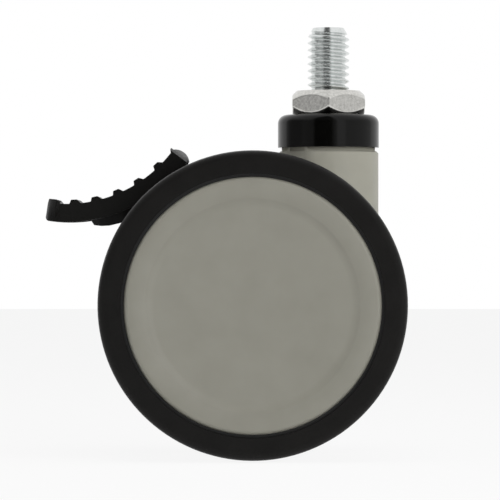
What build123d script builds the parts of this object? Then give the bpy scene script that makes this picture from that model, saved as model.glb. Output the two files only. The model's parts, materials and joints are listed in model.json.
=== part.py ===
from build123d import *
from math import asin, atan2, cos, degrees, hypot, radians, sin
import os

# Braked twin-wheel swivel castor. Millimetres, +Z up.
# Origin: stem axis at the seating (top) face of the hexagon. The wheels trail towards -X.
# The castor is mirrored about the plane Y = 0.

# ---- stem and swivel ----
thread_dia = 11.0            # major diameter of the stem thread
thread_length = 16.6
thread_end_radius = 4.1
thread_lead_in = 2.6
hex_across_flats = 19.05
hex_height = 6.2
hex_top_radius = 8.4         # flat washer face on top of the hexagon
hex_top_drop = 2.4           # how far the corners are turned down from the top
hex_bottom_radius = 9.4
hex_bottom_rise = 1.75       # the same at the bottom
collar_dia = 14.0            # shoulder under the hexagon that carries the swivel bearing
collar_height = 2.8
spindle_dia = 10.0
spindle_tip = 1.4             # spindle left below its retaining ring
pin_chamfer = 0.8            # broken ends of the spindle, half of it on the axle

swivel_bearing_od = 19.0
swivel_bearing_width = 5.0
swivel_ball_dia = 2.38
swivel_ball_count = 11
ring_shoulder = 0.46         # how far a race stands up beside the balls, in ball radii
cage_half_wall = 0.3         # cage, also in ball radii
cage_back = 0.5
cage_front = 1.4

bush_wall = 2.0
bush_length = 7.0
bush_flange = 1.2
thrust_washer_thick = 1.0
thrust_washer_play = 0.7     # radial, to the wall round it
clip_thick = 1.0             # retaining rings on spindle and axle
clip_reach = 1.6             # how far a retaining ring stands out from its shaft
clip_groove_depth = 0.5
clip_room = 1.6              # radial space round the spindle's retaining ring
clip_room_depth = 8.0        # from the boss's lower face up to the bush
swivel_run = 0.15            # gap between hexagon and dust cap

# ---- housing ----
boss_dia = 26.4
boss_floor = 4.3             # boss's lower face above the axle
boss_relief_angle = 45.0     # flat reliefs beside the fork, from straight back
boss_relief_half = 26.0      # half the arc that a relief takes off the boss
neck_dia = 24.6
neck_gap = 1.0               # strip of neck left bare below the cap
cap_dia = 26.7
cap_top_wall = 1.5
cap_bottom = 15.0            # below the seating face
cap_fillet = 2.3
cap_roof_gap = 0.35          # cap's roof to the neck's top
cap_hole_gap = 0.4           # stem's shoulder to the cap's hole
cheek_outer = 9.5            # half width of the fork over its cheeks
fork_gap = 11.0              # between the cheeks
hub_radius = 11.5
hub_stub_radius = 6.5
ear_radius = 5.5
edge_break = 0.5
plug_thick = 2.0
plug_rim = 2.0

# ---- axle and wheels ----
trail = 20.0
axle_drop = 56.3
axle_dia = 8.0
wheel_dia = 80.0
wheel_width = 18.0
overall_width = 65.0
tyre_shoulder = 2.3          # radial width of the round shoulder
tyre_height = 5.6            # tread to the seat on the rim
tyre_lip_reach = 0.55        # how far the lips stand in past the seat
tyre_crown = 0.35
lip_thick = 1.5
rim_wall = 4.1
rim_recess = 0.8
web_thick = 3.0
web_offset = 6.0             # inner wheel face to web
bearing_offset = 5.5         # inner wheel face to bearing
hub_wall = 2.5
core_ribs = 12
core_rib_thick = 1.6
core_rib_drop = 0.5          # ribs end short of the bearing's outer face
bearing_stop = 0.8
bearing_stop_reach = 1.6     # stop ring inside the bearing's seat

wheel_bearing_od = 22.0
wheel_bearing_width = 7.0
wheel_ball_dia = 3.969
wheel_ball_count = 7
axle_washer_thick = 0.6
axle_washer_step = 0.3       # washer's edge inside the hub stub's
axle_tip = 1.1               # axle left outside its retaining ring

disc_gap = 0.8               # tyre's lip to the disc's edge
disc_thick = 1.8
disc_edge_fillet = 1.2
disc_rim = 5.3               # flat band from the disc's edge to the crisp edge of the dish
dish_slope = 2.45            # radial width of the dish's slope
dish_depth = 0.8
dish_sag = 0.3               # rise of the dish's slope at half its width, in dish depths
disc_skirt_depth = 4.5
disc_skirt_wall = 1.4

# ---- brake ----
brake_teeth = 24
tooth_tip_radius = 19.5
tooth_root_radius = 17.0
tooth_ring_bore = 14.8
tooth_gap_tip = 3.5          # width of a gap at the tips
tooth_gap_root = 2.6
tooth_ring_offset = 1.0      # inner wheel face to the ring's free side
pivot_back = 24.0            # pedal pivot behind the axle
pivot_rise = 21.8            # and above it
pedal_pin_dia = 4.0
pedal_throw = 14.0           # degrees, toe down to lock
bar_thick = 4.0
bar_lift = 0.5               # tooth tips to bar at rest
bar_tooth_length = 4.0
bar_tooth_tip = 2.0          # width of the bar's own tooth at its end
bar_tooth_base = 3.2
bar_tooth_play = 0.1         # its inner end to the ring's free side
bar_end_gap = 1.4            # end of the bar to the wheel's web
pin_recess = 0.1             # pedal pin below the cheeks' faces
pedal_pin_bevel = 0.3
finger_arm = 9.8             # pedal pivot to the centre of the pressing finger
finger_radius = 2.5
finger_relief = 2.0          # degrees that the finger's underside clears the bar's top by
guide_radius = 6.5           # rounded end of the cheeks round the bar's slots
boss_root_radius = 4.0       # where the cheeks run out into the boss
boss_root_drop = 12.0
spring_seat_wall = 1.5       # web left between the hub and the spring
spring_dia = 4.6
spring_wire = 0.6
spring_turns = 5

# ---- pedal ----
pedal_width = 24.0
tread_centre_back = 24.6     # centre of the tread's arc behind the pivot, seen from the side
tread_centre_rise = 39.05    # and above it
tread_radius = 34.5
toe_angle = -8.4             # degrees from straight down, towards +X
heel_angle = 54.0
tread_thick = 2.4
skirt_depth = 4.75
skirt_wall = 2.0
end_wall_angle = 3.2         # thickness of the toe and heel walls
rib_starts = (1.1, 10.4, 20.4, 30.6, 41.6)
rib_front = 0.9              # degrees: steep side, flat top, sloping side
rib_top = 2.6
rib_back = 2.0
rib_height = 1.05
rib_round = 0.3
rib_root_round = 0.35
toe_rib_top = 4.0            # degrees from the toe to the end of its flat top
toe_rib_back = 2.2
toe_corner = 4.0             # seen from above
toe_round = 1.1              # lower edge of the toe
heel_lip_height = 0.75
heel_lip_width = 2.4         # degrees
heel_crown = 1.1             # bow of the heel's end, from tread to underside
heel_bulge = 1.8             # and from side to side
lug_width = 8.0
lug_outline = ((5.0, 9.1), (6.1, 9.8), (6.6, 12.0), (7.0, 15.0), (7.2, 19.5), (9.2, 26.0))
lug_back = 6.0               # degrees, heel to the lug's end
pivot_wall = 2.6             # round the pedal's pin

# ---- fits ----
running_fit = 0.05           # radial, shafts in bores that turn
ball_fit = 0.04              # radial, ball to groove
seat_fit = 0.02              # radial, pressed or snapped pieces
slide_fit = 0.15             # brake bar in its slots
slot_play = 0.3              # bar to the far end of its slots
side_play = 0.3              # pedal pivot between the cheeks, each side
joint_sink = 0.3             # how far an added form reaches into what carries it

# ---- values that follow ----
spindle_radius = spindle_dia / 2
axle_radius = axle_dia / 2
boss_radius = boss_dia / 2
neck_radius = neck_dia / 2
boss_top = cap_bottom + neck_gap
boss_bottom = axle_drop - boss_floor
cap_top = hex_height + swivel_run
cheek_inner = fork_gap / 2
collar_bottom = hex_height + collar_height
neck_top = cap_top + cap_top_wall + cap_roof_gap
bearing_floor = collar_bottom + swivel_bearing_width
bush_bottom = boss_bottom - clip_room_depth
bush_top = bush_bottom - bush_length
washer_bottom = bush_bottom + bush_flange + running_fit + thrust_washer_thick
clip_bottom = washer_bottom + running_fit + clip_thick
spindle_bottom = clip_bottom + spindle_tip
clip_room_radius = spindle_radius + clip_reach + clip_room

wheel_outer_y = overall_width / 2
wheel_inner_y = wheel_outer_y - wheel_width
bearing_inner_y = wheel_inner_y + bearing_offset
bearing_outer_y = bearing_inner_y + wheel_bearing_width
stub_end_y = bearing_inner_y - axle_washer_thick
axle_clip_y = bearing_outer_y + running_fit
axle_end_y = axle_clip_y + clip_thick + axle_tip
tyre_sidewall_radius = wheel_dia / 2 - tyre_shoulder
tyre_seat_radius = wheel_dia / 2 - tyre_height
tyre_inner_radius = tyre_seat_radius - tyre_lip_reach
rim_bore = tyre_seat_radius - rim_wall
disc_radius = tyre_inner_radius - disc_gap
dish_radius = disc_radius - disc_rim
dish_floor_radius = dish_radius - dish_slope
rim_end_y = wheel_outer_y - lip_thick

bar_tip = tooth_tip_radius + bar_lift
bar_base = bar_tip + bar_tooth_length
bar_travel = 2 * finger_arm * sin(radians(pedal_throw / 2))
bar_reach_y = wheel_inner_y + web_offset - bar_end_gap
pivot_from_axle = hypot(pivot_back, pivot_rise)
pivot_angle = degrees(atan2(pivot_rise, -pivot_back))
bar_angle = pivot_angle + degrees(asin(finger_arm / pivot_from_axle))
finger_mid = pivot_from_axle * cos(asin(finger_arm / pivot_from_axle))
bar_top = finger_mid + bar_travel / 2 - finger_radius - running_fit
lug_half = lug_width / 2
finger_root_radius = finger_radius - finger_arm * sin(radians(pedal_throw / 2 + finger_relief))
guide_reach = bar_top - spring_seat_wall

axle_point = (-trail, -axle_drop)
pivot_point = (-trail - pivot_back, -axle_drop + pivot_rise)
tread_centre = (pivot_point[0] - tread_centre_back, pivot_point[1] + tread_centre_rise)


def polar(centre, radius, angle):
    """Point in the side view, angle in degrees from +X towards +Z."""
    return (centre[0] + radius * cos(radians(angle)), centre[1] + radius * sin(radians(angle)))


def tread_point(radius, angle):
    """Point in the side view on an arc about the tread's centre, from straight down towards +X."""
    return (tread_centre[0] + radius * sin(radians(angle)), tread_centre[1] - radius * cos(radians(angle)))


def slab(face, half_width):
    """Side-view face thickened to both sides of the middle plane."""
    return extrude(Plane.XZ * face, amount=half_width, both=True)


def turned(points):
    """Body of revolution about Z from a closed outline of (radius, height) points."""
    return revolve(make_face(Plane.XZ * Polyline(*points, close=True)), Axis.Z)


def ring(inner, outer, low, high):
    """Plain ring about Z."""
    return turned([(inner, low), (outer, low), (outer, high), (inner, high)])


def on_axle(piece, side):
    """Turns a piece modelled about Z, outwards positive, onto the axle on one side."""
    return Pos(-trail, 0, -axle_drop) * Rot(-90 * side, 0, 0) * piece


def across(piece, x, z):
    """Turns a piece modelled about Z so that it lies across the castor at (x, z)."""
    return Pos(x, 0, z) * Rot(90, 0, 0) * piece


def retaining_ring(shaft_radius):
    """Open spring ring that snaps into a groove; modelled about Z from 0 to its thickness."""
    flat = ring(shaft_radius - clip_groove_depth, shaft_radius + clip_reach, 0, clip_thick)
    mouth = Box(2 * shaft_radius, shaft_radius, 3 * clip_thick, align=(Align.MIN, Align.CENTER, Align.CENTER))
    return flat - mouth


def clip_groove(shaft_radius, start):
    """Cutter for the groove of a retaining ring."""
    return ring(shaft_radius - clip_groove_depth, shaft_radius + 1, start, start + clip_thick)


# ---- stem ----
def make_stem():
    """Thread blank, hexagon, bearing shoulder and spindle, forged and turned in one."""
    thread_radius = thread_dia / 2
    shank = turned([
        (0, -spindle_bottom), (spindle_radius - pin_chamfer, -spindle_bottom),
        (spindle_radius, -spindle_bottom + pin_chamfer), (spindle_radius, -collar_bottom),
        (collar_dia / 2, -collar_bottom), (collar_dia / 2, -hex_height / 2),
        (thread_radius, -hex_height / 2), (thread_radius, thread_length - thread_lead_in),
        (thread_end_radius, thread_length), (0, thread_length)])
    corner = hex_across_flats / 3 ** 0.5
    blank = extrude(RegularPolygon(corner, 6, rotation=30), -hex_height)
    dome = turned([
        (0, 0), (hex_top_radius, 0), (corner, -hex_top_drop), (corner, hex_bottom_rise - hex_height),
        (hex_bottom_radius, -hex_height), (0, -hex_height)])
    groove = clip_groove(spindle_radius, -clip_bottom)
    return shank + (blank & dome) - groove


def make_thrust_washer():
    return ring(spindle_radius + running_fit, clip_room_radius - thrust_washer_play,
                -washer_bottom, -washer_bottom + thrust_washer_thick)


# ---- ball bearings, modelled about Z with their middle at height 0 ----
def bearing_rings(bore_radius, outer_radius, width, ball_radius):
    """Inner and outer ring with ball grooves."""
    pitch = (bore_radius + outer_radius) / 2
    land = ball_radius * (1 - ring_shoulder)
    groove = revolve(Plane.XZ * Pos(pitch, 0) * Circle(ball_radius + ball_fit), Axis.Z)
    inner = ring(bore_radius, pitch - land, -width / 2, width / 2) - groove
    outer = ring(pitch + land, outer_radius, -width / 2, width / 2) - groove
    return inner, outer


def ball_places(bore_radius, outer_radius, count):
    return PolarLocations((bore_radius + outer_radius) / 2, count)


def bearing_balls(bore_radius, outer_radius, ball_radius, count):
    """The balls as separate solids of one node."""
    return [place * Sphere(ball_radius) for place in ball_places(bore_radius, outer_radius, count)]


def bearing_cage(bore_radius, outer_radius, ball_radius, count):
    """Snap-in cage: a ring open on one side, with a pocket for each ball."""
    pitch = (bore_radius + outer_radius) / 2
    half_wall = cage_half_wall * ball_radius
    cage = ring(pitch - half_wall, pitch + half_wall, -cage_back * ball_radius, cage_front * ball_radius)
    for place in ball_places(bore_radius, outer_radius, count):
        cage = cage - place * Sphere(ball_radius + ball_fit)
    return cage


# ---- housing and what is fixed in it ----
def fork_outline():
    """Side view of the fork: hub, brake bar guide, pedal ear and root at the boss."""
    guide_end = polar(axle_point, guide_reach, bar_angle)
    return make_hull((
        Pos(*axle_point) * Circle(hub_radius)
        + Pos(*guide_end) * Circle(guide_radius)
        + Pos(*pivot_point) * Circle(ear_radius)
        + Pos(-spindle_radius, -boss_top - boss_root_drop) * Circle(boss_root_radius)
        + Pos(0, -boss_bottom + 1.5 * boss_root_radius) * Circle(boss_root_radius)).edges())


def fork_pocket():
    """Side view of the space between the cheeks, open to the pedal and downwards."""
    room = Rectangle(wheel_dia, 1.2 * wheel_dia, align=(Align.MIN, Align.CENTER))
    return Pos(*axle_point) * Rot(0, 0, bar_angle) * Pos(hub_radius + spring_seat_wall, 0) * room


def make_housing():
    """Grey moulding: neck, boss, fork cheeks, axle hub with its two stubs."""
    boss = turned([
        (0, -boss_bottom), (boss_radius - edge_break, -boss_bottom), (boss_radius, -boss_bottom + edge_break),
        (boss_radius, -boss_top - edge_break), (boss_radius - edge_break, -boss_top),
        (neck_radius, -boss_top), (neck_radius, -neck_top), (0, -neck_top)])
    # flat reliefs where the round boss narrows towards the fork
    relief_offset = boss_radius * cos(radians(boss_relief_half))
    relief_depth = boss_radius - relief_offset + 1
    for turn in (180 - boss_relief_angle, 180 + boss_relief_angle):
        cutter = Box(relief_depth, boss_dia, boss_bottom - boss_top, align=(Align.MIN, Align.CENTER, Align.MAX))
        boss = boss - Rot(0, 0, turn) * Pos(relief_offset, 0, -boss_top) * cutter
    hub = on_axle(Cylinder(hub_stub_radius, 2 * stub_end_y), 1)
    fork = slab(fork_outline(), cheek_outer) - slab(fork_pocket(), cheek_inner)
    body = boss + fork + hub
    # swivel bores
    body = body - ring(0, swivel_bearing_od / 2 + seat_fit, -bearing_floor, 0)
    body = body - ring(0, spindle_radius + 1, -bush_top, -bearing_floor)
    body = body - ring(0, spindle_radius + running_fit + bush_wall, -bush_bottom, -bush_top)
    body = body - ring(0, clip_room_radius, -boss_bottom, -bush_bottom)
    # axle, pedal pin and brake bar
    body = body - on_axle(Cylinder(axle_radius + seat_fit, 2 * wheel_outer_y), 1)
    body = body - across(Cylinder(pedal_pin_dia / 2 + seat_fit, 2 * wheel_outer_y), *pivot_point)
    slot_low = bar_base - bar_travel - slide_fit - slot_play
    slot_high = bar_top + slide_fit
    slot = Pos((slot_low + slot_high) / 2, 0) * Rectangle(slot_high - slot_low, bar_thick + 2 * slide_fit)
    return body - slab(Pos(*axle_point) * Rot(0, 0, bar_angle) * slot, cheek_outer + 1)


def make_dust_cap():
    """Black cup pushed over the neck, with a hole for the stem's shoulder."""
    cap_radius = cap_dia / 2
    cup = turned([
        (collar_dia / 2 + cap_hole_gap, -cap_top), (cap_radius, -cap_top), (cap_radius, -cap_bottom),
        (neck_radius + seat_fit, -cap_bottom), (neck_radius + seat_fit, -cap_top - cap_top_wall),
        (collar_dia / 2 + cap_hole_gap, -cap_top - cap_top_wall)])
    outer_rim = cup.edges().filter_by(GeomType.CIRCLE).group_by(Axis.Z)[-1].sort_by(SortBy.RADIUS)[-1]
    return fillet(outer_rim, cap_fillet)


def make_swivel_bush():
    """Flanged plain bush that steadies the lower end of the spindle."""
    bore = spindle_radius + running_fit
    tube = ring(bore, bore + bush_wall - seat_fit, -bush_bottom, -bush_top)
    return tube + ring(bore, clip_room_radius - seat_fit, -bush_bottom - bush_flange, -bush_bottom)


def make_end_plug():
    """Plug that closes the clip room under the boss, with a shallow dished face."""
    plug = ring(0, clip_room_radius - seat_fit, -boss_bottom, -boss_bottom + plug_thick)
    return plug - Pos(0, 0, -boss_bottom) * Cylinder(clip_room_radius - plug_rim, plug_thick / 2)


# ---- axle ----
def make_axle():
    """Steel axle, pressed through the hub, grooved near both ends."""
    pin = Cylinder(axle_radius, 2 * axle_end_y)
    pin = chamfer(pin.edges().filter_by(GeomType.CIRCLE), pin_chamfer / 2)
    pin = pin - clip_groove(axle_radius, axle_clip_y) - Rot(180, 0, 0) * clip_groove(axle_radius, axle_clip_y)
    return on_axle(pin, 1)


def make_axle_washer(side):
    washer_radius = hub_stub_radius - axle_washer_step
    return on_axle(ring(axle_radius + seat_fit, washer_radius, stub_end_y, bearing_inner_y), side)


def make_axle_clip(side):
    return on_axle(Pos(0, 0, axle_clip_y) * retaining_ring(axle_radius), side)


# ---- wheels ----
def brake_ring(side):
    """Toothed ring on the wheel's inner side; a gap stands in the brake bar's line."""
    gap_reach = tooth_tip_radius + 1
    slope = (tooth_gap_tip - tooth_gap_root) / (tooth_tip_radius - tooth_root_radius) / 2
    wide = tooth_gap_tip / 2 + slope
    low = wheel_inner_y + tooth_ring_offset
    high = wheel_inner_y + web_offset
    annulus = Circle(tooth_tip_radius) - Circle(tooth_ring_bore)
    gap = make_face(Polyline(
        (tooth_root_radius, -tooth_gap_root / 2), (gap_reach, -wide), (gap_reach, wide),
        (tooth_root_radius, tooth_gap_root / 2), close=True))
    for k in range(brake_teeth):
        annulus = annulus - Rot(0, 0, -side * bar_angle + 360 / brake_teeth * k) * gap
    return extrude(Pos(0, 0, low) * annulus, high - low)


def make_wheel_core(side):
    """Moulded wheel: rim, web, ribs, bearing hub and toothed brake ring in one."""
    bearing_seat = wheel_bearing_od / 2 + seat_fit
    hub_outer = bearing_seat + hub_wall
    web_low = wheel_inner_y + web_offset
    web_high = web_low + web_thick
    rim_low = wheel_inner_y + rim_recess + lip_thick / 2
    stop_bore = bearing_seat - bearing_stop_reach
    core = turned([
        (stop_bore, bearing_inner_y - bearing_stop), (hub_outer, bearing_inner_y - bearing_stop),
        (hub_outer, web_low), (rim_bore, web_low), (rim_bore, rim_low), (tyre_seat_radius, rim_low),
        (tyre_seat_radius, rim_end_y), (rim_bore, rim_end_y), (rim_bore, web_high), (hub_outer, web_high),
        (hub_outer, bearing_outer_y), (bearing_seat, bearing_outer_y), (bearing_seat, bearing_inner_y),
        (stop_bore, bearing_inner_y)])
    rib_low = web_high
    rib_high = bearing_outer_y - core_rib_drop
    for k in range(core_ribs):
        rib = Box(rim_bore - hub_outer + 2 * joint_sink, core_rib_thick, rib_high - rib_low,
                  align=(Align.MIN, Align.CENTER, Align.MIN))
        core = core + Rot(0, 0, 360 / core_ribs * k) * Pos(hub_outer - joint_sink, 0, rib_low) * rib
    return on_axle(core + brake_ring(side), side)


def make_tyre(side):
    """Tyre with a flat sidewall, round shoulders, a slight crown and a lip over each rim edge."""
    radius = wheel_dia / 2
    low = wheel_inner_y
    high = wheel_outer_y
    middle = (low + high) / 2
    shoulder = radius - tyre_crown
    drop = shoulder - tyre_sidewall_radius
    bend = drop * (1 - cos(radians(45)))
    rim_low = low + rim_recess + lip_thick / 2
    outline = Plane.XZ * (
        Line((tyre_inner_radius, high), (tyre_sidewall_radius, high))
        + ThreePointArc((tyre_sidewall_radius, high), (shoulder - bend, high - bend), (shoulder, high - drop))
        + ThreePointArc((shoulder, high - drop), (radius, middle), (shoulder, low + drop))
        + ThreePointArc((shoulder, low + drop), (shoulder - bend, low + bend), (tyre_sidewall_radius, low))
        + Polyline((tyre_sidewall_radius, low), (tyre_inner_radius, low), (tyre_inner_radius, rim_low),
                   (tyre_seat_radius, rim_low), (tyre_seat_radius, rim_end_y),
                   (tyre_inner_radius, rim_end_y), (tyre_inner_radius, high)))
    return on_axle(revolve(make_face(outline), Axis.Z), side)


def make_cover_disc(side):
    """Snap-in cover: rounded edge, flat annulus, shallow dish and a skirt inside the rim."""
    face = wheel_outer_y
    back = rim_end_y
    floor = face - dish_depth
    skirt_outer = rim_bore - seat_fit
    skirt_inner = skirt_outer - disc_skirt_wall
    bend = disc_edge_fillet * (1 - cos(radians(45)))
    half_slope = (dish_floor_radius + dish_slope / 2, floor + dish_sag * dish_depth)
    outline = Plane.XZ * (
        Polyline((0, floor), (dish_floor_radius, floor))
        + ThreePointArc((dish_floor_radius, floor), half_slope, (dish_radius, face))
        + Line((dish_radius, face), (disc_radius - disc_edge_fillet, face))
        + ThreePointArc((disc_radius - disc_edge_fillet, face), (disc_radius - bend, face - bend),
                        (disc_radius, face - disc_edge_fillet))
        + Polyline((disc_radius, face - disc_edge_fillet), (disc_radius, back), (skirt_outer, back),
                   (skirt_outer, back - disc_skirt_depth), (skirt_inner, back - disc_skirt_depth),
                   (skirt_inner, face - disc_thick), (dish_radius, face - disc_thick),
                   (dish_floor_radius, floor - disc_thick), (0, floor - disc_thick), (0, floor)))
    return on_axle(revolve(make_face(outline), Axis.Z), side)


# ---- brake ----
def tread_sector(inner, outer, start, end, crown=0.0):
    """Side-view face between two arcs about the tread's centre; the heel end may bow outwards."""
    middle = (start + end) / 2
    half_way = (inner + outer) / 2
    bow = tread_point(half_way, end + degrees(crown / half_way))
    heel_end = (ThreePointArc(tread_point(inner, end), bow, tread_point(outer, end)) if crown
                else Line(tread_point(inner, end), tread_point(outer, end)))
    return make_face(
        ThreePointArc(tread_point(inner, start), tread_point(inner, middle), tread_point(inner, end))
        + heel_end
        + ThreePointArc(tread_point(outer, end), tread_point(outer, middle), tread_point(outer, start))
        + Line(tread_point(outer, start), tread_point(inner, start)))


def tread_ridge(start, front, top, back, height):
    """Side-view face of a ridge on the tread; its sides and top are given in degrees."""
    base = tread_radius + joint_sink
    crest = tread_radius - height
    corners = [tread_point(base, start), tread_point(crest, start + front),
               tread_point(crest, start + front + top), tread_point(base, start + front + top + back)]
    return make_face(Polyline(*dict.fromkeys(corners), close=True))


def pedal_side_view():
    """Side view of tread, ribs, heel lip and skirt, with rounded ribs and toe."""
    view = tread_sector(tread_radius, tread_radius + skirt_depth, toe_angle, heel_angle, heel_crown)
    for start in rib_starts:
        view = view + tread_ridge(start, rib_front, rib_top, rib_back, rib_height)
    view = view + tread_ridge(toe_angle, 0.4, toe_rib_top - 0.4, toe_rib_back, rib_height)
    lip_start = heel_angle - heel_lip_width
    view = view + tread_ridge(lip_start, heel_lip_width - 0.7, 0.7, 0.0, heel_lip_height)
    for low, high, first, last, rounding in (
            (-rib_height, -heel_lip_height - 0.1, toe_angle - 1, heel_angle - 1, rib_round),
            (-0.05, 0.05, toe_angle + 1, lip_start - 1, rib_root_round),
            (skirt_depth - 0.05, skirt_depth + 0.05, toe_angle - 1, toe_angle + 1, toe_round)):
        corners = [corner for corner in view.vertices()
                   if low - 0.05 < tread_depth(corner) < high and first < tread_angle(corner) < last]
        view = fillet(corners, rounding)
    return view


def tread_depth(corner):
    """Depth of a side-view corner below the tread's surface."""
    return hypot(corner.X - tread_centre[0], corner.Y - tread_centre[1]) - tread_radius


def tread_angle(corner):
    """Angle of a side-view corner about the tread's centre, from straight down towards +X."""
    return degrees(atan2(corner.X - tread_centre[0], tread_centre[1] - corner.Y))


def make_pedal():
    """Curved tread plate with ribs, side skirts, pivot lug and pressing finger, moulded in one."""
    plate_back = tread_radius + tread_thick
    skirt_low = tread_radius + skirt_depth
    half = pedal_width / 2
    hollow = tread_sector(
        plate_back, skirt_low + skirt_depth, toe_angle + end_wall_angle, heel_angle - end_wall_angle)
    shell = (slab(pedal_side_view(), half) - slab(hollow, half - skirt_wall)) & pedal_plan()
    # lug, pivot barrel and pressing finger
    lug_root = plate_back - joint_sink
    gusset = make_face(Polyline(
        tread_point(lug_root, lug_outline[0][1]),
        *(tread_point(tread_radius + depth, angle) for depth, angle in lug_outline),
        pivot_point, tread_point(lug_root, heel_angle - lug_back), close=True))
    gusset = gusset & (Pos(*tread_centre) * (Circle(wheel_dia) - Circle(lug_root)))
    finger_rest = polar(pivot_point, finger_arm, bar_angle + 90 - pedal_throw / 2)
    finger = make_hull((Pos(*pivot_point) * Circle(finger_root_radius)
                        + Pos(*finger_rest) * Circle(finger_radius)).edges())
    barrel = across(Cylinder(pedal_pin_dia / 2 + pivot_wall, fork_gap - 2 * side_play), *pivot_point)
    lug = slab(gusset, lug_half) + slab(finger, lug_half) + barrel
    return shell + lug - across(Cylinder(pedal_pin_dia / 2 + running_fit, pedal_width), *pivot_point)


def pedal_plan():
    """Block that rounds the toe's corners and bulges the heel, seen square to the tread's ends."""
    half = pedal_width / 2
    bulge_radius = (half ** 2 + heel_bulge ** 2) / (2 * heel_bulge)
    toe_x, toe_z = tread_point(tread_radius, toe_angle)
    toe_block = extrude(RectangleRounded(wheel_dia, pedal_width, toe_corner), wheel_dia, both=True)
    toe_block = Pos(toe_x, 0, toe_z) * Rot(0, -toe_angle, 0) * Pos(wheel_dia / 2, 0, 0) * toe_block
    crown_angle = degrees(heel_crown / tread_radius)
    heel_x, heel_z = tread_point(tread_radius, heel_angle + crown_angle)
    heel_round = extrude(Pos(-bulge_radius, 0) * Circle(bulge_radius), wheel_dia, both=True)
    heel_round = Pos(heel_x, 0, heel_z) * Rot(0, -heel_angle, 0) * heel_round
    return toe_block & heel_round


def make_pedal_pin():
    pin = Cylinder(pedal_pin_dia / 2, 2 * (cheek_outer - pin_recess))
    return across(chamfer(pin.edges().filter_by(GeomType.CIRCLE), pedal_pin_bevel), *pivot_point)


def on_bar_line(piece):
    """Places a piece drawn with +X along the brake bar's travel, away from the axle, Y across."""
    return Pos(-trail, 0, -axle_drop) * Rot(0, -bar_angle, 0) * piece


def make_brake_bar():
    """Flat bar across the fork, with a tapered tooth at each end for the wheels' rings."""
    tooth_inner = wheel_inner_y + tooth_ring_offset + bar_tooth_play
    bar = Pos((bar_base + bar_top) / 2, 0, 0) * Box(bar_top - bar_base, 2 * bar_reach_y, bar_thick)
    tooth = make_face(Plane.XZ * Polyline(
        (bar_tip, -bar_tooth_tip / 2), (bar_base + joint_sink, -bar_tooth_base / 2),
        (bar_base + joint_sink, bar_tooth_base / 2), (bar_tip, bar_tooth_tip / 2), close=True))
    tooth = extrude(tooth, (bar_reach_y - tooth_inner) / 2, both=True)
    for side in (-1, 1):
        bar = bar + Pos(0, side * (tooth_inner + bar_reach_y) / 2, 0) * tooth
    return on_bar_line(bar)


def make_return_spring():
    """Compression spring between the hub and the brake bar."""
    low = hub_radius + spring_seat_wall + running_fit + spring_wire / 2
    high = bar_base - running_fit - spring_wire / 2
    path = Helix(pitch=(high - low) / spring_turns, height=high - low, radius=(spring_dia - spring_wire) / 2)
    start = path @ 0
    section = Plane(origin=start, z_dir=path % 0) * Circle(spring_wire / 2)
    coil = sweep(section, path=path, is_frenet=True)
    return on_bar_line(Pos(low, 0, 0) * Rot(0, 90, 0) * coil)


# ---- build and write ----
def build_all():
    parts = {
        "threaded_stem": make_stem(),
        "stem_thrust_washer": make_thrust_washer(),
        "stem_retaining_ring": Pos(0, 0, -clip_bottom) * retaining_ring(spindle_radius),
        "housing": make_housing(),
        "dust_cap": make_dust_cap(),
        "swivel_bush": make_swivel_bush(),
        "boss_end_plug": make_end_plug(),
        "axle": make_axle(),
        "axle_washers": [make_axle_washer(side) for side in (-1, 1)],
        "axle_retaining_rings": [make_axle_clip(side) for side in (-1, 1)],
        "brake_pedal": make_pedal(),
        "pedal_pin": make_pedal_pin(),
        "brake_bar": make_brake_bar(),
        "brake_return_spring": make_return_spring(),
    }
    swivel = (spindle_radius + seat_fit, swivel_bearing_od / 2)
    swivel_middle = Pos(0, 0, -(collar_bottom + bearing_floor) / 2)
    inner, outer = bearing_rings(*swivel, swivel_bearing_width, swivel_ball_dia / 2)
    parts["swivel_bearing_inner_ring"] = swivel_middle * inner
    parts["swivel_bearing_outer_ring"] = swivel_middle * outer
    parts["swivel_bearing_balls"] = [
        swivel_middle * ball for ball in bearing_balls(*swivel, swivel_ball_dia / 2, swivel_ball_count)]
    parts["swivel_bearing_cage"] = swivel_middle * bearing_cage(*swivel, swivel_ball_dia / 2, swivel_ball_count)

    bore = (axle_radius + seat_fit, wheel_bearing_od / 2)
    inner, outer = bearing_rings(*bore, wheel_bearing_width, wheel_ball_dia / 2)
    balls = bearing_balls(*bore, wheel_ball_dia / 2, wheel_ball_count)
    cage = bearing_cage(*bore, wheel_ball_dia / 2, wheel_ball_count)
    middle = Pos(0, 0, (bearing_inner_y + bearing_outer_y) / 2)
    for name, side in (("right", -1), ("left", 1)):
        parts[name + "_wheel_core"] = make_wheel_core(side)
        parts[name + "_tyre"] = make_tyre(side)
        parts[name + "_cover_disc"] = make_cover_disc(side)
        parts[name + "_wheel_bearing_inner_ring"] = on_axle(middle * inner, side)
        parts[name + "_wheel_bearing_outer_ring"] = on_axle(middle * outer, side)
        parts[name + "_wheel_bearing_balls"] = [on_axle(middle * ball, side) for ball in balls]
        parts[name + "_wheel_bearing_cage"] = on_axle(middle * cage, side)
    return parts


def write(name, shape):
    solids = []
    for piece in shape if isinstance(shape, list) else [shape]:
        solids += list(piece.solids())
    export_step(solids[0] if len(solids) == 1 else Compound(children=solids), f"parts/{name}.step")


os.makedirs("parts", exist_ok=True)
for part_name, part_shape in build_all().items():
    write(part_name, part_shape)
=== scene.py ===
import json
from math import cos, pi, radians, sin, sqrt

import bmesh
import bpy
from mathutils import Matrix, Vector


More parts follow.
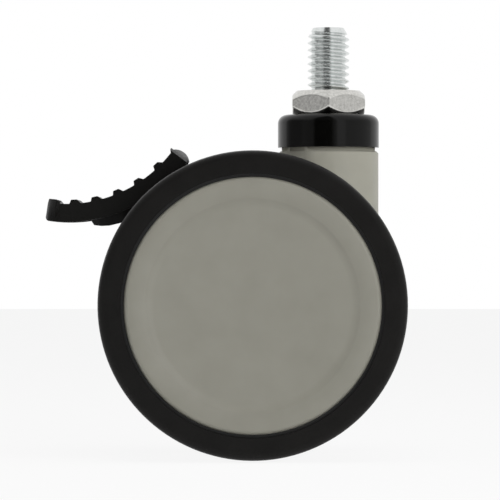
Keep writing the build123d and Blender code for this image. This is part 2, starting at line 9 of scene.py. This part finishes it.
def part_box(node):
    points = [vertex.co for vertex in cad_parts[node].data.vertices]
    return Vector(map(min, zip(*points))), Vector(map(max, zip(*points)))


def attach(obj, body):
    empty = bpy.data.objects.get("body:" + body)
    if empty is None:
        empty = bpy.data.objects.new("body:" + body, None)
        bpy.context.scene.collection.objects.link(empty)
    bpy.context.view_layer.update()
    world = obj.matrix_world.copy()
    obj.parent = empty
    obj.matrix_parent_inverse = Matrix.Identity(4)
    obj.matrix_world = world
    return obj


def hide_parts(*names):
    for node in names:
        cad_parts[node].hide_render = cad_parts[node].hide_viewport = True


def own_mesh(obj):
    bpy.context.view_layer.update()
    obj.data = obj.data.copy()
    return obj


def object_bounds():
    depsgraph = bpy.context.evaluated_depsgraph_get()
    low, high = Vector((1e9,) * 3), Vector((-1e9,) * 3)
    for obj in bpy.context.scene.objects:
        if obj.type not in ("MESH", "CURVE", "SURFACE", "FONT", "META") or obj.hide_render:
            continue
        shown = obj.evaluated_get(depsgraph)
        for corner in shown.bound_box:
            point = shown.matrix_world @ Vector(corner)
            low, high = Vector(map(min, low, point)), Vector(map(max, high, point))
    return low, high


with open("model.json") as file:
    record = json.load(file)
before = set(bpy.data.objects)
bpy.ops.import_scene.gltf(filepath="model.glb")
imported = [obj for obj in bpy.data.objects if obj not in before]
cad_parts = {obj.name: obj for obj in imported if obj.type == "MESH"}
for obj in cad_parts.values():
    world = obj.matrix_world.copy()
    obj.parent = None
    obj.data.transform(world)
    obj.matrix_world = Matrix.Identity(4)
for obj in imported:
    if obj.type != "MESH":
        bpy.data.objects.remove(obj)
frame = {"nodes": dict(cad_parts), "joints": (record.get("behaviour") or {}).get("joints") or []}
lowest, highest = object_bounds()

MM = 0.001

# ---- Studio: camera, floor, backdrop and lamps ----
# The castor hangs by its stem with its wheels just on a pale floor, in front of a pale paper
# backdrop, lit by two soft boxes at the sides, one above, and a broad front fill.
scene = bpy.context.scene
scene.view_settings.view_transform = "Standard"

camera_distance = 1.0
camera_height = -0.042
camera_across = -0.0207
view_width = 132.05 * MM
sensor_width = 36.0

camera_data = bpy.data.cameras.new("camera")
camera_data.sensor_width = sensor_width
camera_data.lens = sensor_width * camera_distance / view_width
camera_data.clip_start = 0.01
camera_data.clip_end = 20.0
camera = bpy.data.objects.new("camera", camera_data)
camera.location = (camera_across, -camera_distance, camera_height)
camera.rotation_euler = (radians(90), 0, 0)
scene.collection.objects.link(camera)
scene.camera = camera


def studio_paper(name, colour, shown):
    """Pale paper: diffuse, with its own white showing to the camera and in reflections."""
    paper = bpy.data.materials.new(name)
    paper.use_nodes = True
    nodes, links = paper.node_tree.nodes, paper.node_tree.links
    diffuse = nodes["Principled BSDF"]
    diffuse.inputs["Base Color"].default_value = (*colour, 1)
    diffuse.inputs["Roughness"].default_value = 0.9
    diffuse.inputs["Specular IOR Level"].default_value = 0.0
    white = nodes.new("ShaderNodeEmission")
    white.inputs["Strength"].default_value = 1.0
    path = nodes.new("ShaderNodeLightPath")
    seen = nodes.new("ShaderNodeMath")
    seen.operation = "MAXIMUM"
    links.new(path.outputs["Is Camera Ray"], seen.inputs[0])
    links.new(path.outputs["Is Glossy Ray"], seen.inputs[1])
    also = nodes.new("ShaderNodeMath")
    also.operation = "MAXIMUM"
    links.new(seen.outputs[0], also.inputs[0])
    links.new(path.outputs["Is Transmission Ray"], also.inputs[1])
    share = nodes.new("ShaderNodeMath")
    share.operation = "MULTIPLY"
    share.inputs[1].default_value = shown
    links.new(also.outputs[0], share.inputs[0])
    mix = nodes.new("ShaderNodeMixShader")
    links.new(share.outputs[0], mix.inputs["Fac"])
    links.new(diffuse.outputs[0], mix.inputs[1])
    links.new(white.outputs[0], mix.inputs[2])
    links.new(mix.outputs[0], nodes["Material Output"].inputs["Surface"])
    return paper


def sheet_of_paper(name, corners, paper):
    mesh = bpy.data.meshes.new(name)
    mesh.from_pydata(corners, [], [(0, 1, 2, 3)])
    sheet = bpy.data.objects.new(name, mesh)
    sheet.data.materials.append(paper)
    scene.collection.objects.link(sheet)


floor_gap = 0.2 * MM
floor_level = lowest[2] - floor_gap
paper_reach = 6.0
paper_grey = (0.86, 0.86, 0.86)
floor_corners = [(-paper_reach, -paper_reach, floor_level), (paper_reach, -paper_reach, floor_level),
                 (paper_reach, paper_reach, floor_level), (-paper_reach, paper_reach, floor_level)]
sheet_of_paper("floor", floor_corners, studio_paper("floor_paper", paper_grey, 0.9))
back_y, back_low, back_high = 2.5, -2.0, 4.0
back_corners = [(-paper_reach, back_y, back_low), (-paper_reach, back_y, back_high),
                (paper_reach, back_y, back_high), (paper_reach, back_y, back_low)]
sheet_of_paper("backdrop", back_corners, studio_paper("backdrop_paper", paper_grey, 1.0))


def studio_air():
    """Even light for matt surfaces; shiny ones see a dark room end with white screens at both sides."""
    world = bpy.data.worlds.new("studio_air")
    world.use_nodes = True
    nodes, links = world.node_tree.nodes, world.node_tree.links
    way = nodes.new("ShaderNodeTexCoord")
    split = nodes.new("ShaderNodeSeparateXYZ")
    links.new(way.outputs["Generated"], split.inputs[0])

    def math(operation, a, b=0.0, clamp=False):
        step = nodes.new("ShaderNodeMath")
        step.operation = operation
        step.use_clamp = clamp
        for socket, value in zip(step.inputs, (a, b)):
            if isinstance(value, (int, float)):
                socket.default_value = value
            else:
                links.new(value, socket)
        return step.outputs[0]

    def ramp(value, stops):
        """Grey levels at degrees of azimuth from the camera, positive to the right."""
        band = nodes.new("ShaderNodeValToRGB")
        band.color_ramp.interpolation = "EASE"
        points = band.color_ramp.elements
        while len(points) < len(stops):
            points.new(0.5)
        for point, (angle, level) in zip(points, stops):
            point.position = (angle + 180) / 360
            point.color = (level, level, level, 1)
        links.new(value, band.inputs["Fac"])
        return band.outputs["Color"]

    azimuth = math("ARCTAN2", split.outputs["X"], math("MULTIPLY", split.outputs["Y"], -1))
    turn = math("ADD", math("DIVIDE", azimuth, 2 * pi), 0.5)
    level_view = ramp(turn, ((-180, 0.9), (-120, 0.7), (-95, 0.25), (-66, 0.30), (-60, 0.40), (-38, 0.34),
                             (-30, 0.02), (4, 0.02), (16, 0.45), (21, 1.0), (35, 1.0), (42, 0.70),
                             (100, 0.72), (130, 0.9)))
    high_view = ramp(turn, ((-180, 1.0), (-75, 1.0), (-48, 0.9), (-36, 0.12), (8, 0.12), (22, 1.0),
                            (180, 1.0)))
    lift_start, lift_slope = 0.35, 3.0
    lift = math("MULTIPLY", math("SUBTRACT", split.outputs["Z"], lift_start), lift_slope, clamp=True)
    blend = nodes.new("ShaderNodeMix")
    blend.data_type = "RGBA"
    links.new(lift, blend.inputs["Factor"])
    links.new(level_view, blend.inputs["A"])
    links.new(high_view, blend.inputs["B"])
    seen = nodes.new("ShaderNodeBackground")
    links.new(blend.outputs["Result"], seen.inputs["Color"])
    felt = nodes.new("ShaderNodeBackground")
    felt.inputs["Color"].default_value = (1, 1, 1, 1)
    felt.inputs["Strength"].default_value = 0.16
    path = nodes.new("ShaderNodeLightPath")
    pick = nodes.new("ShaderNodeMixShader")
    links.new(path.outputs["Is Glossy Ray"], pick.inputs["Fac"])
    links.new(felt.outputs[0], pick.inputs[1])
    links.new(seen.outputs[0], pick.inputs[2])
    links.new(pick.outputs[0], nodes["World Output"].inputs["Surface"])
    scene.world = world


studio_air()


def soft_box(name, azimuth, height, distance, width, tall, radiance):
    """Soft box for the matt light, facing the castor; azimuth in degrees, positive to the right."""
    lamp = bpy.data.lights.new(name, "AREA")
    lamp.shape = "RECTANGLE"
    lamp.size = width
    lamp.size_y = tall
    lamp.energy = radiance * pi * width * tall
    holder = bpy.data.objects.new(name, lamp)
    aim = Vector((-0.01, 0, -0.045))
    place = aim + Vector((sin(radians(azimuth)) * distance, -cos(radians(azimuth)) * distance, height))
    facing = (aim - place).to_track_quat("-Z", "Y").to_matrix().to_4x4()
    holder.matrix_world = Matrix.Translation(place) @ facing
    holder.visible_glossy = False
    scene.collection.objects.link(holder)


soft_box("key_box", 34, 0.10, 0.75, 0.42, 0.9, 2.6)
soft_box("side_box", 82, 0.05, 0.75, 0.55, 0.9, 1.3)
soft_box("fill_box", -58, 0.05, 0.80, 0.60, 0.9, 1.1)
soft_box("top_box", 10, 0.85, 0.25, 0.7, 0.7, 1.5)
soft_box("front_fill", 12, 0.12, 1.4, 1.0, 1.0, 2.2)


# ---- Threaded stem ----
# One forged and zinc-plated steel piece: rolled thread, hexagon with chamfered corners, bearing
# shoulder and swivel spindle. The thread is rolled by a node tree, the rest is turned and milled.
def finish_nodes(name):
    """A new node material with its Principled shader and a texture position in millimetres."""
    finish = bpy.data.materials.new(name)
    finish.use_nodes = True
    nodes, links = finish.node_tree.nodes, finish.node_tree.links
    place = nodes.new("ShaderNodeTexCoord")
    scale = nodes.new("ShaderNodeMapping")
    scale.inputs["Scale"].default_value = (1000, 1000, 1000)
    links.new(place.outputs["Object"], scale.inputs["Vector"])
    return finish, nodes, links, nodes["Principled BSDF"], scale.outputs["Vector"]


def noise(nodes, links, place, scale, detail=3.0, roughness=0.55):
    """Noise at a number of waves per millimetre."""
    wave = nodes.new("ShaderNodeTexNoise")
    wave.inputs["Scale"].default_value = scale
    wave.inputs["Detail"].default_value = detail
    wave.inputs["Roughness"].default_value = roughness
    links.new(place, wave.inputs["Vector"])
    return wave.outputs["Fac"]


def spread(nodes, links, value, low, high):
    """Maps the middle of a noise to a range."""
    to_range = nodes.new("ShaderNodeMapRange")
    to_range.inputs["From Min"].default_value = 0.3
    to_range.inputs["From Max"].default_value = 0.7
    to_range.inputs["To Min"].default_value = low
    to_range.inputs["To Max"].default_value = high
    links.new(value, to_range.inputs["Value"])
    return to_range.outputs["Result"]


def tint(nodes, links, value, dark, light):
    """Colour between two values of noise."""
    blend = nodes.new("ShaderNodeMix")
    blend.data_type = "RGBA"
    blend.inputs["A"].default_value = (*dark, 1)
    blend.inputs["B"].default_value = (*light, 1)
    links.new(spread(nodes, links, value, 0, 1), blend.inputs["Factor"])
    return blend.outputs["Result"]


def bump(nodes, links, value, height, shader):
    """Adds a bump of a height in millimetres to a shader."""
    relief = nodes.new("ShaderNodeBump")
    relief.inputs["Strength"].default_value = 1.0
    relief.inputs["Distance"].default_value = height * MM
    links.new(value, relief.inputs["Height"])
    links.new(relief.outputs["Normal"], shader.inputs["Normal"])


def plated_steel(name, dark, light, roughness, speckle, wave):
    """Steel with a zinc coat: bluish bright crystals and small differences in gloss."""
    finish, nodes, links, shader, place = finish_nodes(name)
    shader.inputs["Metallic"].default_value = 1.0
    crystals = noise(nodes, links, place, wave)
    links.new(tint(nodes, links, crystals, dark, light), shader.inputs["Base Color"])
    patches = noise(nodes, links, place, 0.5 * wave)
    links.new(spread(nodes, links, patches, 0.75 * roughness, 1.3 * roughness), shader.inputs["Roughness"])
    bump(nodes, links, crystals, speckle, shader)
    return finish


def as_object(name, mesh, finish, body, sharp=32):
    """Turns a finished mesh into a piece that rides on a body, smooth up to an edge angle."""
    mesh.name = name
    mesh.materials.clear()
    mesh.materials.append(finish)
    for face in mesh.polygons:
        face.use_smooth = True
        face.material_index = 0
    mesh.set_sharp_from_angle(angle=radians(sharp))
    piece = bpy.data.objects.new(name, mesh)
    scene.collection.objects.link(piece)
    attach(piece, body)
    return piece


def revolve_mesh(outline, steps):
    """Mesh turned about Z from (radius, height) points in metres; ends on the axis are closed."""
    shape = bmesh.new()
    rings = []
    for radius, height in outline:
        if radius < 1e-9:
            rings.append([shape.verts.new((0, 0, height))])
        else:
            angles = [2 * pi * k / steps for k in range(steps)]
            rings.append([shape.verts.new((radius * cos(angle), radius * sin(angle), height))
                          for angle in angles])
    for low, high in zip(rings, rings[1:]):
        for k in range(steps):
            after = (k + 1) % steps
            corners = [low[k % len(low)], low[after % len(low)], high[after % len(high)], high[k % len(high)]]
            shape.faces.new(list(dict.fromkeys(corners)))
    bmesh.ops.recalc_face_normals(shape, faces=shape.faces)
    mesh = bpy.data.meshes.new("turned")
    shape.to_mesh(mesh)
    shape.free()
    return mesh


thread_radius = 5.5 * MM
thread_depth = 1.08 * MM
thread_pitch = 1.834 * MM
thread_length = 16.6 * MM
thread_lead_in = 2.6 * MM
thread_end_radius = 4.1 * MM


def thread_tree():
    """Node tree that rolls a thread: a grid wrapped to a bar whose radius follows a helix."""
    tree = bpy.data.node_groups.new("rolled_thread", "GeometryNodeTree")
    face = tree.interface
    for label, value in (("Radius", thread_radius), ("Depth", thread_depth), ("Pitch", thread_pitch),
                         ("Length", thread_length), ("Lead In", thread_lead_in),
                         ("End Radius", thread_end_radius)):
        face.new_socket(label, in_out="INPUT", socket_type="NodeSocketFloat").default_value = value
    face.new_socket("Finish", in_out="INPUT", socket_type="NodeSocketMaterial")
    face.new_socket("Geometry", in_out="OUTPUT", socket_type="NodeSocketGeometry")
    nodes, links = tree.nodes, tree.links
    given = nodes.new("NodeGroupInput")
    out = nodes.new("NodeGroupOutput")

    def math(operation, a, b=None, clamp=False):
        step = nodes.new("ShaderNodeMath")
        step.operation = operation
        step.use_clamp = clamp
        for socket, value in zip(step.inputs, (a, b)):
            if value is None:
                continue
            if isinstance(value, (int, float)):
                socket.default_value = value
            else:
                links.new(value, socket)
        return step.outputs[0]

    around, along = 144, 220
    grid = nodes.new("GeometryNodeMeshGrid")
    grid.inputs["Size X"].default_value = 1.0
    grid.inputs["Size Y"].default_value = 1.0
    grid.inputs["Vertices X"].default_value = around + 1
    grid.inputs["Vertices Y"].default_value = along + 1
    spot = nodes.new("GeometryNodeInputPosition")
    split = nodes.new("ShaderNodeSeparateXYZ")
    links.new(spot.outputs[0], split.inputs[0])
    turn = math("MULTIPLY", math("ADD", split.outputs["X"], 0.5), 2 * pi)
    height = math("MULTIPLY", math("ADD", split.outputs["Y"], 0.5), given.outputs["Length"])
    # the wave runs from 0 at a root to 1 at a crest
    start_turn = 20.62
    root_share, flank_share = 0.16, 0.74
    straight, rounded = 0.45, 0.55
    phase = math("FRACT", math("ADD", math("DIVIDE", height, given.outputs["Pitch"]),
                               math("ADD", math("DIVIDE", turn, 2 * pi), start_turn)))
    wave = math("ABSOLUTE", math("SUBTRACT", math("MULTIPLY", phase, 2), 1))
    flank = math("MULTIPLY", math("SUBTRACT", wave, root_share), 1 / flank_share, clamp=True)
    smooth = math("MULTIPLY", math("MULTIPLY", flank, flank), math("SUBTRACT", 3, math("MULTIPLY", flank, 2)))
    crest = math("ADD", math("MULTIPLY", flank, straight), math("MULTIPLY", smooth, rounded))
    cut = math("SUBTRACT", given.outputs["Radius"],
               math("MULTIPLY", given.outputs["Depth"], math("SUBTRACT", 1, crest)))
    # the end is chamfered, and the thread runs out just above the hexagon
    from_end = math("DIVIDE", math("SUBTRACT", given.outputs["Length"], height), given.outputs["Lead In"])
    cut_in = math("SUBTRACT", given.outputs["Radius"], given.outputs["End Radius"])
    cone = math("ADD", given.outputs["End Radius"], math("MULTIPLY", from_end, cut_in))
    radius = math("MINIMUM", cut, cone)
    place = nodes.new("ShaderNodeCombineXYZ")
    links.new(math("MULTIPLY", radius, math("COSINE", turn)), place.inputs["X"])
    links.new(math("MULTIPLY", radius, math("SINE", turn)), place.inputs["Y"])
    links.new(height, place.inputs["Z"])
    move = nodes.new("GeometryNodeSetPosition")
    links.new(grid.outputs["Mesh"], move.inputs["Geometry"])
    links.new(place.outputs[0], move.inputs["Position"])
    weld = nodes.new("GeometryNodeMergeByDistance")
    weld.inputs["Distance"].default_value = 1e-7
    links.new(move.outputs[0], weld.inputs["Geometry"])
    real = nodes.new("GeometryNodeRealizeInstances")
    links.new(weld.outputs[0], real.inputs[0])
    coat = nodes.new("GeometryNodeSetMaterial")
    links.new(real.outputs[0], coat.inputs["Geometry"])
    links.new(given.outputs["Finish"], coat.inputs["Material"])
    links.new(coat.outputs[0], out.inputs["Geometry"])
    return tree


def made_by(tree, name, **settings):
    """Runs a node tree once, with its inputs set by name, and returns the plain mesh."""
    holder = bpy.data.objects.new(name + "_maker", bpy.data.meshes.new(name + "_maker"))
    scene.collection.objects.link(holder)
    maker = holder.modifiers.new("maker", "NODES")
    maker.node_group = tree
    for item in tree.interface.items_tree:
        if item.item_type == "SOCKET" and item.in_out == "INPUT" and item.name in settings:
            maker[item.identifier] = settings[item.name]
    bpy.context.view_layer.update()
    mesh = bpy.data.meshes.new_from_object(holder.evaluated_get(bpy.context.evaluated_depsgraph_get()))
    holder.modifiers.remove(maker)
    bpy.data.objects.remove(holder)
    return mesh


def outward(mesh):
    """Merges doubles, closes open ends and turns the faces outwards."""
    shape = bmesh.new()
    shape.from_mesh(mesh)
    bmesh.ops.remove_doubles(shape, verts=shape.verts, dist=1e-7)
    bmesh.ops.holes_fill(shape, edges=[edge for edge in shape.edges if edge.is_boundary], sides=0)
    bmesh.ops.recalc_face_normals(shape, faces=shape.faces)
    shape.to_mesh(mesh)
    shape.free()
    return mesh


zinc_thread = plated_steel("zinc_thread", (0.66, 0.685, 0.68), (0.78, 0.80, 0.79), 0.16, 0.0015, 3.0)
thread_mesh = outward(made_by(thread_tree(), "thread", Finish=zinc_thread))
thread = as_object("stem_thread", thread_mesh, zinc_thread, "stem", sharp=40)
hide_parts("threaded_stem")

hex_flat = 19.05 / 2 * MM
hex_corner = hex_flat * 2 / sqrt(3)
hex_height = 6.2 * MM
stem_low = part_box("threaded_stem")[0].z


def hexagon_body():
    """Hexagon whose corners are turned off by a cone above and one below."""
    top_radius = 8.35 * MM
    top_drop = 2.45 * MM
    low_rise = 1.75 * MM
    low_set_in = 0.05 * MM
    low_radius = hex_flat - low_set_in
    soft = 0.35 * MM
    shape = bmesh.new()
    steps, levels = 240, 44

    def reach(angle):
        off = (angle + pi / 2) % (pi / 3)
        return hex_flat / cos(off - pi / 6)

    rows = []
    for j in range(levels + 1):
        z = -hex_height * j / levels
        slope = (hex_corner - top_radius) / top_drop
        top_limit = top_radius + slope * -z
        low_limit = low_radius + (hex_corner - low_radius) / low_rise * (z + hex_height)
        row = []
        for k in range(steps):
            angle = 2 * pi * k / steps
            radius = reach(angle)
            # rounded meeting of flat and cone
            for limit in (top_limit, low_limit):
                gap = max(soft - abs(radius - limit), 0) / soft
                radius = min(radius, limit) - gap * gap * soft / 4
            row.append(shape.verts.new((radius * cos(angle), radius * sin(angle), z)))
        rows.append(row)
    for low, high in zip(rows, rows[1:]):
        for k in range(steps):
            after = (k + 1) % steps
            shape.faces.new((low[k], low[after], high[after], high[k]))
    centre_top = shape.verts.new((0, 0, 0))
    centre_low = shape.verts.new((0, 0, -hex_height))
    for k in range(steps):
        after = (k + 1) % steps
        shape.faces.new((centre_top, rows[0][k], rows[0][after]))
        shape.faces.new((centre_low, rows[-1][after], rows[-1][k]))
    bmesh.ops.recalc_face_normals(shape, faces=shape.faces)
    mesh = bpy.data.meshes.new("hexagon")
    shape.to_mesh(mesh)
    shape.free()
    return mesh


zinc_hexagon = plated_steel("zinc_hexagon", (0.52, 0.515, 0.49), (0.70, 0.69, 0.66), 0.20, 0.004, 1.6)
hexagon = as_object("stem_hexagon", hexagon_body(), zinc_hexagon, "stem", sharp=28)
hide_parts("threaded_stem")

collar_radius, collar_low = 7.0 * MM, -9.0 * MM
spindle_radius, groove_radius = 5.0 * MM, 4.5 * MM
clip_low, clip_high = (corner.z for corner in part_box("stem_retaining_ring"))
bevel = 0.8 * MM
spindle_steps = 96
spindle_mesh = revolve_mesh([
    (0, -hex_height), (collar_radius, -hex_height), (collar_radius, collar_low), (spindle_radius, collar_low),
    (spindle_radius, clip_high), (groove_radius, clip_high), (groove_radius, clip_low),
    (spindle_radius, clip_low), (spindle_radius, stem_low + bevel), (spindle_radius - bevel, stem_low),
    (0, stem_low)], spindle_steps)
spindle = as_object("stem_spindle", spindle_mesh, zinc_hexagon, "stem")
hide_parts("threaded_stem")


# ---- Swivel and wheel bearings, clips, washers and pins ----
# Hard steel pieces: ground and polished races and balls, blued spring rings, bright drawn pins.
def machined_steel(name, colour, roughness, ring_wave):
    """Bright steel with fine turning marks and a little oil tint."""
    finish, nodes, links, shader, place = finish_nodes(name)
    shader.inputs["Metallic"].default_value = 1.0
    marks = noise(nodes, links, place, ring_wave, 2.0, 0.7)
    links.new(tint(nodes, links, marks, [0.85 * c for c in colour], colour), shader.inputs["Base Color"])
    links.new(spread(nodes, links, marks, 0.8 * roughness, 1.25 * roughness), shader.inputs["Roughness"])
    bump(nodes, links, marks, 0.002, shader)
    return finish


race_steel = machined_steel("race_steel", (0.78, 0.78, 0.77), 0.12, 4.0)
drawn_steel = machined_steel("drawn_steel", (0.62, 0.62, 0.61), 0.28, 2.5)
blued_steel = machined_steel("blued_steel", (0.16, 0.165, 0.18), 0.35, 2.0)


def carry_over(name, finish):
    """A piece whose shape is right keeps its mesh and gets its finish."""
    for spot in frame["nodes"][name].material_slots:
        spot.material = finish


for node in frame["nodes"]:
    if node.endswith(("_inner_ring", "_outer_ring", "_balls")):
        carry_over(node, race_steel)
for node in ("axle", "axle_washers", "pedal_pin", "stem_thrust_washer", "brake_bar"):
    carry_over(node, drawn_steel)
for node in ("axle_retaining_rings", "stem_retaining_ring"):
    carry_over(node, blued_steel)


# ---- Dust cap ----
# Gloss black moulded cup pressed over the housing's neck, under the hexagon. It turns with the
# housing and keeps dust out of the swivel bearing.
def moulded_plastic(name, dark, light, roughness, grain_height, grain_wave, shine=0.5):
    """Injection-moulded plastic: slow drift in colour, a fine grain, uneven gloss."""
    finish, nodes, links, shader, place = finish_nodes(name)
    drift = noise(nodes, links, place, 0.12, 2.0)
    links.new(tint(nodes, links, drift, dark, light), shader.inputs["Base Color"])
    grain = noise(nodes, links, place, grain_wave, 4.0, 0.6)
    links.new(spread(nodes, links, grain, 0.88 * roughness, 1.14 * roughness), shader.inputs["Roughness"])
    shader.inputs["IOR"].default_value = 1.5
    shader.inputs["Specular IOR Level"].default_value = shine
    bump(nodes, links, grain, grain_height, shader)
    return finish


def smooth_copy(node, finish, body, sharp=30):
    """A merged, smooth-shaded copy of a piece, which it then stands for."""
    weld, sliver = 2e-6, 1e-7
    mesh = frame["nodes"][node].data.copy()
    shape = bmesh.new()
    shape.from_mesh(mesh)
    bmesh.ops.remove_doubles(shape, verts=shape.verts, dist=weld)
    bmesh.ops.dissolve_degenerate(shape, edges=shape.edges, dist=sliver)
    shape.to_mesh(mesh)
    shape.free()
    piece = as_object(node + "_skin", mesh, finish, body, sharp)
    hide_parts(node)
    return piece


gloss_black = moulded_plastic("gloss_black", (0.0012, 0.0012, 0.001), (0.002, 0.002, 0.0017), 0.10, 0.0008, 0.5,
                              shine=0.22)
smooth_copy("dust_cap", gloss_black, "housing")


# ---- Housing ----
# Warm grey glass-filled nylon moulding: neck, boss, fork cheeks and axle hub in one shot. It
# carries the swivel bearing above and the axle below.
housing_grey = moulded_plastic("housing_grey", (0.300, 0.293, 0.245), (0.330, 0.322, 0.270), 0.42, 0.006, 1.8)
smooth_copy("housing", housing_grey, "housing")
pale_acetal = moulded_plastic("pale_acetal", (0.62, 0.61, 0.56), (0.70, 0.69, 0.64), 0.35, 0.004, 1.5)
for node in ("swivel_bush", "swivel_bearing_cage", "right_wheel_bearing_cage", "left_wheel_bearing_cage"):
    carry_over(node, pale_acetal)


# ---- Tyres ----
# Black rubber treads moulded on the rims of the two wheels, one at each side of the housing,
# with a fine matt texture.
def tread_rubber(name):
    finish, nodes, links, shader, place = finish_nodes(name)
    drift = noise(nodes, links, place, 0.15, 2.0)
    links.new(tint(nodes, links, drift, (0.0030, 0.0027, 0.0024), (0.0046, 0.0042, 0.0038)),
              shader.inputs["Base Color"])
    grain = noise(nodes, links, place, 2.2, 4.0, 0.65)
    links.new(spread(nodes, links, grain, 0.50, 0.66), shader.inputs["Roughness"])
    shader.inputs["Specular IOR Level"].default_value = 0.2
    bump(nodes, links, grain, 0.02, shader)
    return finish


black_rubber = tread_rubber("black_rubber")
for side in ("right", "left"):
    smooth_copy(side + "_tyre", black_rubber, side + "_wheel")


# ---- Wheel cores and boss plug ----
# Black nylon wheels with the toothed brake ring on the inner side, and the plug under the boss.
core_black = moulded_plastic("core_black", (0.005, 0.005, 0.0048), (0.008, 0.008, 0.0075), 0.45, 0.008, 1.6)
for node in ("right_wheel_core", "left_wheel_core", "boss_end_plug"):
    carry_over(node, core_black)


# ---- Cover discs ----
# Snap-in covers on the outer side of each wheel, moulded with a shallow round dish; their warm grey is the
# housing's grey made darker, as painted shade.
# They turn with the wheel and hide its bearing.
# This grey is the housing's grey made about a quarter darker: painted shade for the weaker light on the covers.
shaded_disc_grey = moulded_plastic("shaded_disc_grey", (0.232, 0.226, 0.190), (0.250, 0.244, 0.206), 0.45, 0.004, 1.4)
for side in ("right", "left"):
    smooth_copy(side + "_cover_disc", shaded_disc_grey, side + "_wheel")


# ---- Brake pedal ----
# Black nylon tread with ribs across, a skirt along each side and a rounded heel. The foot
# pushes it down to slide the brake bar into both wheels.
pedal_black = moulded_plastic("pedal_black", (0.0016, 0.0015, 0.0012), (0.0028, 0.0026, 0.0021), 0.42, 0.012, 1.8,
                              shine=0.2)
smooth_copy("brake_pedal", pedal_black, "pedal")


# ---- Brake return spring ----
# Blued spring wire, coiled between the hub and the brake bar; the real one shortens as the bar goes in, but this
# coil is wound once at one length.
def coil_tree():
    """Node tree that winds a compression spring along X."""
    tree = bpy.data.node_groups.new("wound_spring", "GeometryNodeTree")
    face = tree.interface
    for label in ("Length", "Coil Radius", "Wire Radius", "Turns"):
        face.new_socket(label, in_out="INPUT", socket_type="NodeSocketFloat")
    face.new_socket("Finish", in_out="INPUT", socket_type="NodeSocketMaterial")
    face.new_socket("Geometry", in_out="OUTPUT", socket_type="NodeSocketGeometry")
    nodes, links = tree.nodes, tree.links
    given = nodes.new("NodeGroupInput")
    out = nodes.new("NodeGroupOutput")
    helix = nodes.new("GeometryNodeCurveSpiral")
    helix.inputs["Resolution"].default_value = 28
    links.new(given.outputs["Turns"], helix.inputs["Rotations"])
    links.new(given.outputs["Coil Radius"], helix.inputs["Start Radius"])
    links.new(given.outputs["Coil Radius"], helix.inputs["End Radius"])
    links.new(given.outputs["Length"], helix.inputs["Height"])
    wire = nodes.new("GeometryNodeCurvePrimitiveCircle")
    wire.inputs["Resolution"].default_value = 12
    links.new(given.outputs["Wire Radius"], wire.inputs["Radius"])
    sweep = nodes.new("GeometryNodeCurveToMesh")
    sweep.inputs["Fill Caps"].default_value = True
    links.new(helix.outputs[0], sweep.inputs["Curve"])
    links.new(wire.outputs[0], sweep.inputs["Profile Curve"])
    real = nodes.new("GeometryNodeRealizeInstances")
    links.new(sweep.outputs[0], real.inputs[0])
    coat = nodes.new("GeometryNodeSetMaterial")
    links.new(real.outputs[0], coat.inputs["Geometry"])
    links.new(given.outputs["Finish"], coat.inputs["Material"])
    links.new(coat.outputs[0], out.inputs["Geometry"])
    return tree


axle_place = Vector((-20 * MM, 0, -56.3 * MM))
bar_joint = next(joint for joint in frame["joints"] if joint["name"] == "brake_bar_slide")
bar_way = -Vector(bar_joint["axis"]).normalized()
spring_start, spring_end = 13.05 * MM, 23.95 * MM
wire_radius = 0.3 * MM
spring_mesh = made_by(coil_tree(), "spring", Length=spring_end - spring_start - 2 * wire_radius, Turns=5.0,
                      Finish=blued_steel, **{"Coil Radius": 2.0 * MM, "Wire Radius": wire_radius})
along_bar = Matrix.Translation(axle_place) @ bar_way.to_track_quat("Z", "Y").to_matrix().to_4x4()
spring_mesh.transform(along_bar @ Matrix.Translation((0, 0, spring_start + wire_radius)))
spring = as_object("brake_spring_coil", outward(spring_mesh), blued_steel, "housing",
                   sharp=60)
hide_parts("brake_return_spring")
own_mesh(spring)
